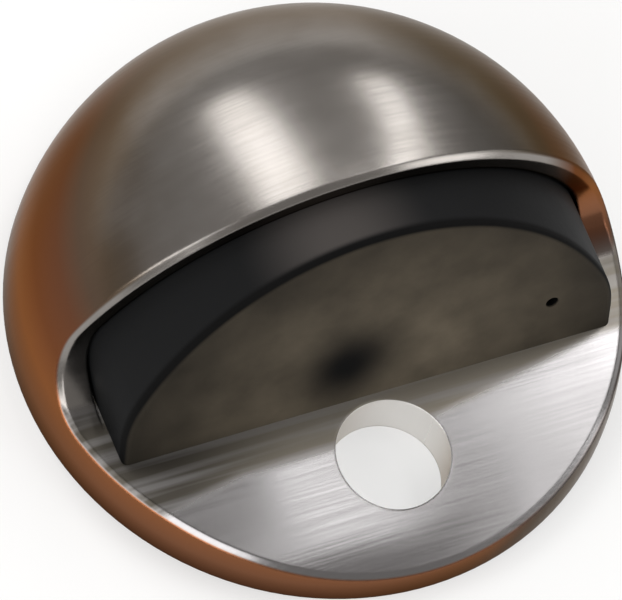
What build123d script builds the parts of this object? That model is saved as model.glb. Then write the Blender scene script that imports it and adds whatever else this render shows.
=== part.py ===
import os
from math import cos, radians, sin
from build123d import *

# Dome door stop, millimetres, +Z up, the bumper faces -Y.
# The origin is the centre of the base circle, on the underside.

# Driving sizes of the dome body
base_radius = 22.5
floor_high = 4.25
floor_front = 2.6
flat_lead = 2.65
rim_y = -0.4
corner_radius = 5.5
edge_ease = 0.4
mouth_radius = 20.8
side_draw = 1.5
mouth_blend = 8.0
pocket_back = 4.0
web_wall = 2.2
shell_wall = 2.2
screw_hole_radius = 4.2
screw_hole_y = -13.65

# Driving sizes of the rubber bumper
fit_gap = 0.25
face_foot_y = -8.85
face_lean = 14.5
face_round = 0.5
vent_x = 14.0
vent_rise = 4.5
vent_radius = 0.5
vent_depth = 0.8

# Sizes that follow from the driving ones
over = 6.0
reach = base_radius + over
floor_flat_end = face_foot_y - flat_lead
mouth_half_width = mouth_radius - side_draw
tail_back = pocket_back - fit_gap
hollow_front = pocket_back + web_wall
hollow_radius = base_radius - shell_wall

# The leaning plane of the bumper's face, with its origin on the floor
face_plane = Plane(
    origin=(0, face_foot_y, floor_high),
    x_dir=(1, 0, 0),
    z_dir=(0, -cos(radians(face_lean)), sin(radians(face_lean))),
)

# The space above the crowned floor, shared by the cut, the pocket and the bumper
with BuildPart() as above_floor:
    with BuildSketch(Plane.YZ):
        with BuildLine():
            flat = Line((pocket_back + over, floor_high), (floor_flat_end, floor_high))
            crown = TangentArc(flat @ 1, (-base_radius, floor_front), tangent=(-1, 0))
            Polyline(
                crown @ 1,
                (-reach, floor_front),
                (-reach, reach),
                (pocket_back + over, reach),
                flat @ 0,
            )
        make_face()
    extrude(amount=reach, both=True)

# The space in front of the rim, rounded into the floor at its foot
with BuildPart() as front_cut:
    with BuildSketch(Plane.YZ):
        with BuildLine():
            Polyline(
                (rim_y, reach),
                (rim_y, 0),
                (-reach, 0),
                (-reach, reach),
                close=True,
            )
        make_face()
    extrude(amount=reach, both=True)
    add(above_floor.part, mode=Mode.INTERSECT)
    foot_corner = front_cut.edges().filter_by(Axis.X).sort_by_distance((0, rim_y, floor_high))[0]
    fillet(foot_corner, radius=corner_radius)

# The arched outline of the mouth: a circle with upright, blended sides
with BuildSketch(Plane.XZ) as mouth_outline:
    Circle(mouth_radius)
    Rectangle(2 * mouth_half_width, 2 * reach, mode=Mode.INTERSECT)
    fillet(mouth_outline.vertices(), radius=mouth_blend)

# The mouth under the rim that takes the bumper's tail
with BuildPart() as pocket:
    with BuildSketch(Plane.XZ.offset(-pocket_back)):
        add(mouth_outline.sketch_local)
    extrude(amount=pocket_back + reach)
    add(above_floor.part, mode=Mode.INTERSECT)

# The recess cast into the underside behind the pocket
with BuildPart() as hollow:
    with BuildSketch(Plane.XZ):
        with BuildLine():
            Line((0, 0), (hollow_radius, 0))
            CenterArc((0, 0), hollow_radius, 0, 90)
            Line((0, hollow_radius), (0, 0))
        make_face()
    revolve(axis=Axis.Z)
    with Locations((0, hollow_front, 0)):
        Box(
            2 * reach,
            reach,
            2 * reach,
            align=(Align.CENTER, Align.MIN, Align.CENTER),
            mode=Mode.INTERSECT,
        )

# Dome, rim, base plate and screw hole in one casting
with BuildPart() as dome_body:
    with BuildSketch(Plane.XZ):
        with BuildLine():
            Line((0, 0), (base_radius, 0))
            CenterArc((0, 0), base_radius, 0, 90)
            Line((0, base_radius), (0, 0))
        make_face()
    revolve(axis=Axis.Z)
    add(front_cut.part, mode=Mode.SUBTRACT)
    # The outline of the cut on the ball is eased all round
    ball_edges = [
        e
        for e in dome_body.edges()
        if e.center().Z > 0.5 and all(abs((e @ k).length - base_radius) < 0.01 for k in (0.1, 0.5, 0.9))
    ]
    chamfer(ball_edges, length=edge_ease)
    add(pocket.part, mode=Mode.SUBTRACT)
    add(hollow.part, mode=Mode.SUBTRACT)
    with Locations((0, screw_hole_y, floor_high)):
        Hole(screw_hole_radius)

# Rubber block: the mouth's outline run forward to the leaning face
with BuildPart() as rubber_bumper:
    with BuildSketch(Plane.XZ.offset(-tail_back)):
        add(mouth_outline.sketch_local)
        offset(amount=-fit_gap)
    extrude(amount=tail_back + reach)
    split(bisect_by=face_plane, keep=Keep.BOTTOM)
    front_face = rubber_bumper.faces().sort_by_distance(face_plane.origin)[0]
    fillet(front_face.edges(), radius=face_round)
    add(above_floor.part, mode=Mode.INTERSECT)
    with BuildSketch(face_plane):
        with Locations((vent_x, vent_rise)):
            Circle(vent_radius)
    extrude(amount=-vent_depth, mode=Mode.SUBTRACT)

dome_body.part.label = "dome_body"
rubber_bumper.part.label = "rubber_bumper"

os.makedirs("parts", exist_ok=True)
export_step(dome_body.part, "parts/dome_body.step")
export_step(rubber_bumper.part, "parts/rubber_bumper.step")
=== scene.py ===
import math

import bpy
from mathutils import Matrix, Vector

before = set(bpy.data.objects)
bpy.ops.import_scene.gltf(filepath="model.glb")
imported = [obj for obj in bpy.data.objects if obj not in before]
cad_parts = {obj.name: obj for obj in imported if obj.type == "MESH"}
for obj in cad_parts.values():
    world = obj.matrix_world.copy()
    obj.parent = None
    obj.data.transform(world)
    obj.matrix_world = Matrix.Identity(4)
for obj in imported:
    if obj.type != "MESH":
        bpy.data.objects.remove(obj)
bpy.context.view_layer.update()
print("frame loaded:", sorted(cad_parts))


def newMaterial(name):
    mat = bpy.data.materials.new(name)
    mat.use_nodes = True
    mat.node_tree.nodes.clear()
    return mat, mat.node_tree


def addNode(tree, kind, x, y, **settings):
    node = tree.nodes.new(kind)
    node.location = (x, y)
    for key, value in settings.items():
        setattr(node, key, value)
    return node


# a socket is linked, a number or a row of numbers is set
def fillSockets(tree, sockets, values):
    for socket, value in zip(sockets, values):
        if isinstance(value, bpy.types.NodeSocket):
            tree.links.new(value, socket)
        else:
            socket.default_value = value


def fillNamed(tree, node, **values):
    sockets = [node.inputs[name.replace("_", " ")] for name in values]
    fillSockets(tree, sockets, values.values())


def addMath(tree, x, y, operation, *values):
    node = addNode(tree, "ShaderNodeMath", x, y, operation=operation)
    fillSockets(tree, node.inputs, values)
    return node.outputs["Value"]


def addProduct(tree, x, y, first, *others):
    product = first
    for step, other in enumerate(others):
        product = addMath(tree, x + 150 * step, y, "MULTIPLY", product, other)
    return product


def addVector(tree, x, y, operation, *values):
    node = addNode(tree, "ShaderNodeVectorMath", x, y, operation=operation)
    fillSockets(tree, node.inputs, values)
    givesNumber = operation in ("LENGTH", "DISTANCE", "DOT_PRODUCT")
    return node.outputs["Value" if givesNumber else "Vector"]


def addRange(tree, x, y, source, limits, results=(0.0, 1.0), smooth=False):
    node = addNode(tree, "ShaderNodeMapRange", x, y)
    if smooth:
        node.interpolation_type = "SMOOTHSTEP"
    fillNamed(tree, node, Value=source, From_Min=limits[0], From_Max=limits[1])
    fillNamed(tree, node, To_Min=results[0], To_Max=results[1])
    return node.outputs["Result"]


def addBlend(tree, x, y, share, first, second):
    node = addNode(tree, "ShaderNodeMix", x, y, data_type="RGBA")
    colours = [(*c, 1.0) if isinstance(c, tuple) else c for c in (first, second)]
    sockets = [s for s in node.inputs if s.type == "RGBA"]
    fillSockets(tree, [node.inputs[0], *sockets], [share, *colours])
    return [s for s in node.outputs if s.type == "RGBA"][0]


def addRamp(tree, x, y, source, stops):
    node = addNode(tree, "ShaderNodeValToRGB", x, y)
    elements = node.color_ramp.elements
    while len(elements) < len(stops):
        elements.new(0.5)
    for element, (spot, colour) in zip(elements, stops):
        element.position = spot
        element.color = (*colour, 1.0)
    tree.links.new(source, node.inputs["Fac"])
    return node.outputs["Color"]


def addNoise(tree, x, y, place, scale, detail, rough=0.5):
    node = addNode(tree, "ShaderNodeTexNoise", x, y)
    fillNamed(tree, node, Vector=place, Scale=scale, Detail=detail, Roughness=rough)
    return node.outputs["Fac"]


def addStretch(tree, x, y, place, scale):
    node = addNode(tree, "ShaderNodeMapping", x, y)
    fillNamed(tree, node, Vector=place, Scale=scale)
    return node.outputs["Vector"]


def addBump(tree, x, y, height, strength, depth, normal=None):
    node = addNode(tree, "ShaderNodeBump", x, y)
    fillNamed(tree, node, Height=height, Strength=strength, Distance=depth)
    if normal is not None:
        tree.links.new(normal, node.inputs["Normal"])
    return node.outputs["Normal"]


# satin steel, brushed in lines that run side to side
# lengths are in metres, and a pair of them is where a tone starts and where it is full or gone
steelSet = {
    "colour": ((0.222, 0.207, 0.192), (0.270, 0.254, 0.240)),  # darker and paler clouds
    "cloudNoise": (140.0, 4.0),  # scale and detail
    "cloudSpread": (0.35, 0.65),
    "plate": (0.243, 0.236, 0.238),  # cooler on the plate
    "plateTop": (0.0045, 0.0048),
    "low": (  # painted reflection: warm brown tone on the low outer wall, darkest at the foot, by height
        (0.00, (0.080, 0.034, 0.021)),
        (0.10, (0.200, 0.088, 0.048)),
        (0.22, (0.250, 0.095, 0.038)),
        (0.36, (0.160, 0.058, 0.026)),
        (0.50, (0.128, 0.053, 0.029)),
        (0.61, (0.100, 0.066, 0.046)),
        (0.72, (0.122, 0.090, 0.062)),
    ),
    "lowTop": 0.02,  # height at 1.0 in the rows above
    "lowHeights": (0.0130, 0.0190),
    "lowNoise": 0.003,  # unevenness of its upper limit
    "lowRight": (0.005, 0.016),
    "lowRise": 0.0048,  # how much higher it reaches on the right
    "lowRadii": (0.02232, 0.02244),  # from the ball's centre, so only the outside is warm
    "lowBack": (0.008, 0.024),  # gone towards the back
    "lowTurn": 0.35,  # and sooner on the right
    "rimEndReflection": (0.0150, 0.0180),  # painted reflection: warm tone on the right end of the rim
    "cheekFront": (-0.0050, -0.0020),
    "rightShade": (0.022, 0.021, 0.015),  # painted shade: darker right side of the dome, for the darker room it reflects
    "rightShadeStart": (0.0050, 0.0105),
    "rightShadeHeights": (0.008, 0.012),
    "rightShadeShare": 0.45,
    "mouth": (0.045, 0.040, 0.036),  # painted shade on the wall of the mouth, behind the rim
    "mouthRadii": (0.02090, 0.02105),
    "mouthHeights": (0.008, 0.010),
    "lowWallShade": (0.085, 0.077, 0.075),  # painted shade on the right end of the low wall
    "darkStart": (0.003, 0.011),
    "darkTop": (0.0040, 0.0080),
    "footReflection": ((0.062, 0.056, 0.047), (0.178, 0.161, 0.134)),  # painted reflection of the bumper on the plate by its foot: left end, rest
    "footReflectionLeft": (-0.0165, -0.0060),
    "footReflectionEnd": (0.01145, 0.01255),
    "footReflectionRight": (0.003, 0.018),
    "footReflectionTaper": 0.00285,  # narrower at the right end
    "footReflectionFarLeft": (-0.017, -0.011),
    "footReflectionWiden": 0.0012,  # wider at the left end
    "footReflectionRough": 0.20,
    "streakScale": (45.0, 1300.0, 45.0),  # per metre, fine across the streaks
    "streakNoise": (1.0, 2.0),
    "streakLimits": (0.62, 0.42),
    "streaks": (0.55, 1.0),  # lighter lines in the painted reflection
    "boreReflection": (0.85, 0.84, 0.82),  # painted reflection: paler wall of the hole, for the pale floor it reflects
    "boreAxis": (0.0, -0.01365, 0.0),
    "boreRadii": (0.00420, 0.00423),
    "rough": (0.16, 0.22),  # on the plate
    "roughBall": 0.05,  # added on the ball
    "anisotropic": 0.3,
    "edgeTint": (0.55, 0.50, 0.45),  # of reflections at a glancing angle
    "brushScale": (90.0, 5200.0, 90.0),  # per metre, fine across the brushing
    "brushNoise": (1.0, 3.0, 0.6),
    "brushLimits": (0.3, 0.7),
    "brushBump": (0.02, 0.0002),  # strength and depth
    "waveNoise": (75.0, 1.0),
    "waveBump": (0.35, 0.0005),  # slow unevenness of the polish
    "crown": 4.5,  # the plate's polish falls away to both sides
    "softEdge": 0.00025,
    "softSamples": 6,
}


# where a point of the steel is, and how far it belongs to the ball, the plate and the painted reflection
# by the bumper's foot
def steelZones(tree, place):
    parts = addNode(tree, "ShaderNodeSeparateXYZ", -1000, 700)
    tree.links.new(place, parts.inputs["Vector"])
    across, along, height = (parts.outputs[axis] for axis in "XYZ")
    cloud = addNoise(tree, -1000, 300, place, *steelSet["cloudNoise"])
    radius = addVector(tree, -1000, 900, "LENGTH", place)
    onBall = addRange(tree, -600, 900, radius, steelSet["lowRadii"])
    offBall = addMath(tree, -400, 900, "SUBTRACT", 1.0, onBall)
    underTop = addRange(tree, -400, 1000, height, steelSet["plateTop"], (1.0, 0.0))
    onPlate = addProduct(tree, -200, 1000, underTop, offBall)

    taper = addRange(tree, -900, 1700, across, steelSet["footReflectionRight"], (0.0, steelSet["footReflectionTaper"]))
    widen = addRange(tree, -900, 1850, across, steelSet["footReflectionFarLeft"], (steelSet["footReflectionWiden"], 0.0))
    shift = addMath(tree, -700, 1700, "SUBTRACT", taper, widen)
    ahead = addMath(tree, -550, 1700, "SUBTRACT", shift, along)
    byFoot = addRange(tree, -400, 1700, ahead, steelSet["footReflectionEnd"], (1.0, 0.0), True)
    return {
        "across": across,
        "along": along,
        "height": height,
        "radius": radius,
        "cloud": cloud,
        "onBall": onBall,
        "onPlate": onPlate,
        "footReflection": addProduct(tree, -200, 1700, byFoot, onPlate),
    }


# painted reflection: warm tone on the low outer wall and on the right end of the rim
def warmWallReflection(tree, zones, colour):
    across, along, height = (zones[k] for k in ("across", "along", "height"))
    rise = addRange(tree, -800, 600, across, steelSet["lowRight"], (0.0, steelSet["lowRise"]))
    waver = addMath(tree, -800, 450, "MULTIPLY_ADD", zones["cloud"], steelSet["lowNoise"], height)
    level = addMath(tree, -600, 500, "SUBTRACT", waver, rise)
    limits = [h + steelSet["lowNoise"] / 2 for h in steelSet["lowHeights"]]
    low = addRange(tree, -400, 500, level, limits, (1.0, 0.0), True)
    backward = addMath(tree, -600, 350, "MULTIPLY_ADD", across, steelSet["lowTurn"], along)
    front = addRange(tree, -400, 350, backward, steelSet["lowBack"], (1.0, 0.0), True)
    wall = addProduct(tree, -200, 450, low, front, zones["onBall"])

    rimRight = addRange(tree, -600, 1250, across, steelSet["rimEndReflection"])
    rimEnd = addRange(tree, -600, 1100, along, steelSet["cheekFront"], smooth=True)
    rimEndReflection = addProduct(tree, -400, 1150, rimRight, rimEnd)
    warmReflection = addMath(tree, 0, 700, "MAXIMUM", wall, rimEndReflection)
    drop = addMath(tree, -600, 750, "SUBTRACT", height, rise)
    step = addRange(tree, -450, 750, drop, (0.0, steelSet["lowTop"]))
    tone = addRamp(tree, -250, 800, step, steelSet["low"])
    return addBlend(tree, 150, 600, warmReflection, colour, tone)


def shadedSides(tree, zones, colour):
    across, height, onBall = (zones[k] for k in ("across", "height", "onBall"))
    # painted shade on the right side of the dome
    rightShadeShares = (0.0, steelSet["rightShadeShare"])
    rightShadeSide = addRange(tree, -600, 2300, across, steelSet["rightShadeStart"], rightShadeShares, True)
    rightShadeHigh = addRange(tree, -600, 2450, height, steelSet["rightShadeHeights"])
    rightShade = addProduct(tree, -400, 2300, rightShadeSide, rightShadeHigh, onBall)
    colour = addBlend(tree, 300, 800, rightShade, colour, steelSet["rightShade"])

    # painted shade in the mouth, behind the rim
    deep = addRange(tree, -600, 2600, zones["radius"], steelSet["mouthRadii"], (1.0, 0.0))
    overFloor = addRange(tree, -600, 2750, height, steelSet["mouthHeights"])
    inMouth = addProduct(tree, -400, 2600, deep, overFloor)
    colour = addBlend(tree, 450, 800, inMouth, colour, steelSet["mouth"])

    # painted shade on the right end of the low wall
    darkRight = addRange(tree, -600, 1400, across, steelSet["darkStart"], smooth=True)
    darkLow = addRange(tree, -600, 1550, height, steelSet["darkTop"], (1.0, 0.0), True)
    darkWall = addProduct(tree, -400, 1450, darkRight, darkLow, onBall)
    return addBlend(tree, 600, 800, darkWall, colour, steelSet["lowWallShade"])


# painted reflection of the bumper's face on the plate in front of its foot, with lighter lines
def plateWithFootReflection(tree, place, zones, colour):
    colour = addBlend(tree, 750, 1000, zones["onPlate"], colour, steelSet["plate"])
    pulled = addStretch(tree, -800, 2100, place, steelSet["streakScale"])
    streak = addNoise(tree, -600, 2100, pulled, *steelSet["streakNoise"])
    lines = addRange(tree, -200, 2100, streak, steelSet["streakLimits"], steelSet["streaks"])
    streaked = addProduct(tree, 0, 1900, zones["footReflection"], lines)
    fromLeft = addRange(tree, 0, 1700, zones["across"], steelSet["footReflectionLeft"], smooth=True)
    tone = addBlend(tree, 250, 1700, fromLeft, *steelSet["footReflection"])
    return addBlend(tree, 900, 1000, streaked, colour, tone)


# painted reflection on the wall of the hole
def paleBoreReflection(tree, zones, colour):
    flatPlace = addNode(tree, "ShaderNodeCombineXYZ", -800, 1950)
    fillSockets(tree, flatPlace.inputs, (zones["across"], zones["along"]))
    fromAxis = addVector(tree, -600, 1950, "DISTANCE", flatPlace.outputs["Vector"], steelSet["boreAxis"])
    inBore = addRange(tree, -350, 1950, fromAxis, steelSet["boreRadii"], (1.0, 0.0))
    return addBlend(tree, 1050, 1000, inBore, colour, steelSet["boreReflection"])


def polishedNormal(tree, place, zones, lines):
    soft = addNode(tree, "ShaderNodeBevel", -50, -350, samples=steelSet["softSamples"])  # worn edges
    soft.inputs["Radius"].default_value = steelSet["softEdge"]
    tip = addNode(tree, "ShaderNodeCombineXYZ", 0, -800)
    fall = addProduct(tree, -400, -800, zones["across"], steelSet["crown"], zones["onPlate"])
    tree.links.new(fall, tip.inputs["X"])
    tipped = addVector(tree, 150, -700, "ADD", soft.outputs["Normal"], tip.outputs["Vector"])
    crowned = addVector(tree, 300, -700, "NORMALIZE", tipped)
    wave = addNoise(tree, -500, -600, place, *steelSet["waveNoise"])
    uneven = addBump(tree, 450, -500, wave, *steelSet["waveBump"], crowned)
    return addBump(tree, 650, -300, lines, *steelSet["brushBump"], uneven)


def makeSteel():
    mat, tree = newMaterial("satinSteel")
    link = tree.links.new
    out = addNode(tree, "ShaderNodeOutputMaterial", 1600, 0)
    steel = addNode(tree, "ShaderNodeBsdfPrincipled", 1300, 0)
    steel.inputs["Metallic"].default_value = 1.0
    steel.inputs["Anisotropic"].default_value = steelSet["anisotropic"]
    steel.inputs["Specular Tint"].default_value = (*steelSet["edgeTint"], 1.0)
    link(steel.outputs["BSDF"], out.inputs["Surface"])
    place = addNode(tree, "ShaderNodeTexCoord", -1300, 0).outputs["Object"]
    zones = steelZones(tree, place)

    clouds = list(zip(steelSet["cloudSpread"], steelSet["colour"]))
    colour = addRamp(tree, -250, 300, zones["cloud"], clouds)
    colour = warmWallReflection(tree, zones, colour)
    colour = shadedSides(tree, zones, colour)
    colour = plateWithFootReflection(tree, place, zones, colour)
    link(paleBoreReflection(tree, zones, colour), steel.inputs["Base Color"])

    stretch = addStretch(tree, -700, -100, place, steelSet["brushScale"])
    lines = addNoise(tree, -500, -100, stretch, *steelSet["brushNoise"])
    gloss = addRange(tree, -200, -50, lines, steelSet["brushLimits"], steelSet["rough"])
    satin = addMath(tree, 100, -50, "MULTIPLY_ADD", zones["onBall"], steelSet["roughBall"], gloss)
    dulled = addMath(tree, 300, -50, "MULTIPLY_ADD", zones["footReflection"], steelSet["footReflectionRough"], satin)
    link(dulled, steel.inputs["Roughness"])
    link(polishedNormal(tree, place, zones, lines), steel.inputs["Normal"])
    turn = addNode(tree, "ShaderNodeTangent", 1000, -450, direction_type="RADIAL", axis="Y")
    link(turn.outputs["Tangent"], steel.inputs["Tangent"])
    return mat


# moulded rubber, black where it is clean, brown-grey on the face from dust and painted bounce light off
# the plate
rubberSet = {
    "faceLean": 14.5,  # degrees
    "faceFoot": (-0.00885, 0.00425),  # y and z of the face's foot
    "clean": (0.0095, 0.0098, 0.0103),
    "edgeShade": (0.004, 0.004, 0.004),  # painted shade on the rounded edge round the face
    "edgeDepths": (0.0010, 0.0005),  # behind the face
    "topSheen": (0.060, 0.054, 0.051),  # painted sheen: paler patch on top, where the band catches the lamps
    "topSheenMiddle": (-0.0030, -0.0030, 0.0202),
    "topSheenReach": (0.0005, 0.0075),
    # brown-grey face: dust, and painted bounce light from the bright plate
    "faceDustAndBounce": (0.130, 0.109, 0.080),
    "faceToneDepths": (0.00022, 0.00002),
    "bounceMiddle": (0.0010, -0.0085, 0.0050),
    "bounceReach": (0.006, 0.019),
    "bounceFall": (1.0, 0.22),  # less dust and painted bounce light away from the middle of the foot
    "patchNoise": (260.0, 6.0),  # scale and detail
    "patchLimits": (0.3, 0.7),
    "patchShares": (0.6, 1.0),  # share of dust and painted bounce light in the thin and the thick patches
    "holeShade": (-0.0020, -0.0079, 0.0082),  # painted shade: dark spot on the face across from the hole, where the plate sends back no light
    "holeShadeReach": (0.0004, 0.0064),
    "shine": 0.06,
    "rough": (0.50, 0.62),
    "roughEdge": 0.20,  # added on the face and its rounded edge
    "grainNoise": (2600.0, 2.0),
    "grainBump": (0.12, 0.00008),  # strength and depth
}


def depthBehindFace(tree, place):
    lean = math.radians(rubberSet["faceLean"])
    normal = Vector((0.0, -math.cos(lean), math.sin(lean)))
    level = normal.dot(Vector((0.0, *rubberSet["faceFoot"])))
    forward = addVector(tree, -1200, 300, "DOT_PRODUCT", place, normal)
    return addMath(tree, -1000, 300, "SUBTRACT", level, forward)


# dust and painted bounce light on the face, with a painted shade across from the hole
def faceDustAndBounceShare(tree, place, depth, patch):
    onFace = addRange(tree, -750, 300, depth, rubberSet["faceToneDepths"], smooth=True)
    thin = addRange(tree, -750, -100, patch, rubberSet["patchLimits"], rubberSet["patchShares"])
    fromMiddle = addVector(tree, -1000, -400, "DISTANCE", place, rubberSet["bounceMiddle"])
    settled = addRange(tree, -750, -400, fromMiddle, rubberSet["bounceReach"], rubberSet["bounceFall"])
    # painted shade on the face across from the hole
    fromHoleShade = addVector(tree, -1000, 500, "DISTANCE", place, rubberSet["holeShade"])
    awayFromHoleShade = addRange(tree, -750, 500, fromHoleShade, rubberSet["holeShadeReach"], smooth=True)
    return addProduct(tree, -500, 100, thin, settled, awayFromHoleShade, onFace)


def makeRubber():
    mat, tree = newMaterial("mouldedRubber")
    link = tree.links.new
    out = addNode(tree, "ShaderNodeOutputMaterial", 900, 0)
    rubber = addNode(tree, "ShaderNodeBsdfPrincipled", 600, 0)
    rubber.inputs["Specular IOR Level"].default_value = rubberSet["shine"]
    link(rubber.outputs["BSDF"], out.inputs["Surface"])
    place = addNode(tree, "ShaderNodeTexCoord", -1400, 0).outputs["Object"]
    depth = depthBehindFace(tree, place)
    patch = addNoise(tree, -1000, -100, place, *rubberSet["patchNoise"])

    # painted shade on the rounded edge round the face
    nearEdge = addRange(tree, -750, 800, depth, rubberSet["edgeDepths"], smooth=True)
    colour = addBlend(tree, -250, 700, nearEdge, rubberSet["clean"], rubberSet["edgeShade"])
    # painted sheen on top of the band
    fromTopSheen = addVector(tree, -1000, 1000, "DISTANCE", place, rubberSet["topSheenMiddle"])
    topSheen = addRange(tree, -750, 1000, fromTopSheen, rubberSet["topSheenReach"], (1.0, 0.0), True)
    offEdge = addMath(tree, -550, 900, "SUBTRACT", 1.0, nearEdge)
    topSheenShare = addProduct(tree, -350, 1000, topSheen, offEdge)
    colour = addBlend(tree, 0, 700, topSheenShare, colour, rubberSet["topSheen"])
    dustAndBounce = faceDustAndBounceShare(tree, place, depth, patch)
    link(addBlend(tree, 200, 300, dustAndBounce, colour, rubberSet["faceDustAndBounce"]), rubber.inputs["Base Color"])

    gloss = addRange(tree, -50, -100, patch, (0.0, 1.0), rubberSet["rough"])
    dull = addMath(tree, 150, 0, "MULTIPLY_ADD", nearEdge, rubberSet["roughEdge"], gloss)
    link(dull, rubber.inputs["Roughness"])
    grain = addNoise(tree, -550, -350, place, *rubberSet["grainNoise"])
    link(addBump(tree, 250, -300, grain, *rubberSet["grainBump"]), rubber.inputs["Normal"])
    return mat


def dress(nodeName, mat):
    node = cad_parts[nodeName]
    if node.material_slots:
        for slot in node.material_slots:
            slot.material = mat
    else:
        node.data.materials.append(mat)


dress("dome_body", makeSteel())
dress("rubber_bumper", makeRubber())
print("materials on the body and the bumper")


# pale floor
floorSet = {
    "size": 8.0,
    "colour": (0.94, 0.94, 0.935),
    "rough": 0.8,
    "shine": 0.1,
    "white": 0.5,  # share of plain white in what is seen, which thins the shadow
}


def makeFloorPaint():
    mat, tree = newMaterial("paleFloor")
    out = addNode(tree, "ShaderNodeOutputMaterial", 500, 0)
    paint = addNode(tree, "ShaderNodeBsdfPrincipled", 0, 0)
    paint.inputs["Base Color"].default_value = (*floorSet["colour"], 1.0)
    paint.inputs["Roughness"].default_value = floorSet["rough"]
    paint.inputs["Specular IOR Level"].default_value = floorSet["shine"]
    white = addNode(tree, "ShaderNodeEmission", 0, -400)
    rays = addNode(tree, "ShaderNodeLightPath", -600, 300).outputs
    seen = addMath(tree, -350, 300, "MAXIMUM", rays["Is Camera Ray"], rays["Is Glossy Ray"])
    seen = addMath(tree, -150, 300, "MAXIMUM", seen, rays["Is Transmission Ray"])
    share = addProduct(tree, 50, 300, seen, floorSet["white"])
    blend = addNode(tree, "ShaderNodeMixShader", 300, 0)
    fillSockets(tree, blend.inputs, (share, paint.outputs["BSDF"], white.outputs["Emission"]))
    tree.links.new(blend.outputs["Shader"], out.inputs["Surface"])
    return mat


def makeFloor():
    bpy.ops.object.select_all(action="DESELECT")
    bpy.ops.mesh.primitive_plane_add(size=floorSet["size"], location=(0, 0, 0))
    floor = bpy.context.object
    floor.name = "paleFloor"
    floor.data.materials.append(makeFloorPaint())


makeFloor()
print("floor in place")


# softboxes: the directions and distances of their two ends, width and brightness
lightSet = {
    "backLeft": {
        "near": (-0.15, 0.33, 0.93),
        "far": (-0.08, 0.95, 0.28),
        "reach": (0.45, 0.90),
        "width": 0.15,
        "glow": 4.1,
    },
    "backRight": {
        "near": (0.54, 0.28, 0.79),
        "far": (0.50, 0.79, 0.29),
        "reach": (0.50, 0.80),
        "width": 0.10,
        "glow": 3.9,
    },
    "overhead": {
        "near": (0.475, -0.32, 0.82),
        "far": (0.475, 0.34, 0.81),
        "reach": (0.50, 0.50),
        "width": 0.09,
        "glow": 3.4,
    },
    "ceiling": {
        "near": (0.240, -0.075, 0.955),
        "far": (0.262, 0.365, 0.88),
        "reach": (0.50, 0.50),
        "width": 0.032,
        "glow": 5.7,
    },
    "window": {
        "near": (-0.90, 0.15, 0.36),
        "far": (-0.45, -0.78, 0.46),
        "reach": (0.70, 0.70),
        "width": 0.22,
        "glow": 3.6,
    },
    "side": {
        "near": (0.97, -0.28, 0.12),
        "far": (0.48, -0.82, 0.30),
        "reach": (0.70, 0.70),
        "width": 0.12,
        "glow": 3.2,
    },
}


def makeLight(name, box):
    near = Vector(box["near"]).normalized() * box["reach"][0]
    far = Vector(box["far"]).normalized() * box["reach"][1]
    length = (far - near).length
    middle = (near + far) / 2
    long = (far - near).normalized()
    side = long.cross(middle).normalized()
    facing = side.cross(long).normalized()
    data = bpy.data.lights.new(name, "AREA")
    data.shape = "RECTANGLE"
    data.size = box["width"]
    data.size_y = length
    data.energy = box["glow"] * math.pi * box["width"] * length
    lamp = bpy.data.objects.new(name, data)
    bpy.context.scene.collection.objects.link(lamp)
    turn = Matrix((side, long, facing)).transposed().to_4x4()
    lamp.matrix_world = Matrix.Translation(middle) @ turn


for lightName, box in lightSet.items():
    makeLight(lightName, box)

worldSet = {"colour": (1.0, 0.97, 0.94), "strength": 0.45}


def makeWorld():
    world = bpy.data.worlds.new("roomGrey")
    bpy.context.scene.world = world
    world.use_nodes = True
    room = world.node_tree.nodes["Background"]
    room.inputs["Color"].default_value = (*worldSet["colour"], 1.0)
    room.inputs["Strength"].default_value = worldSet["strength"]


makeWorld()
print("lights in place")


# camera, looking down at the front left
cameraSet = {
    "azimuth": -40.6,
    "elevation": 61.5,
    "roll": 20.85,
    "distance": 0.81,
    "image": (622, 600),  # pixels
    "centre": (312.5, 315.5),  # pixel where the base's centre falls
    "baseRadius": 0.0225,
    "basePixels": 313.0,  # the base's radius in the image
    "sensor": 36.0,  # millimetres
    "clip": (0.01, 50.0),
}


def makeCamera():
    az, el, roll = (math.radians(cameraSet[k]) for k in ("azimuth", "elevation", "roll"))
    back = Vector((math.sin(az) * math.cos(el), -math.cos(az) * math.cos(el), math.sin(el)))
    right = Vector((math.cos(az), math.sin(az), 0.0))
    up = back.cross(right)
    rolledRight = right * math.cos(roll) + up * math.sin(roll)
    rolledUp = up * math.cos(roll) - right * math.sin(roll)
    data = bpy.data.cameras.new("photoCamera")
    wide, high = cameraSet["image"]
    pixelsPerMetre = cameraSet["basePixels"] / cameraSet["baseRadius"]
    data.sensor_fit = "HORIZONTAL"
    data.sensor_width = cameraSet["sensor"]
    data.lens = pixelsPerMetre * cameraSet["distance"] * cameraSet["sensor"] / wide
    data.shift_x = -(cameraSet["centre"][0] - wide / 2) / wide
    data.shift_y = (cameraSet["centre"][1] - high / 2) / wide
    data.clip_start, data.clip_end = cameraSet["clip"]
    camera = bpy.data.objects.new("photoCamera", data)
    bpy.context.scene.collection.objects.link(camera)
    turn = Matrix((rolledRight, rolledUp, back)).transposed().to_4x4()
    camera.matrix_world = Matrix.Translation(back * cameraSet["distance"]) @ turn
    bpy.context.scene.camera = camera


makeCamera()
bpy.context.scene.view_settings.view_transform = "Standard"
print("camera in place")
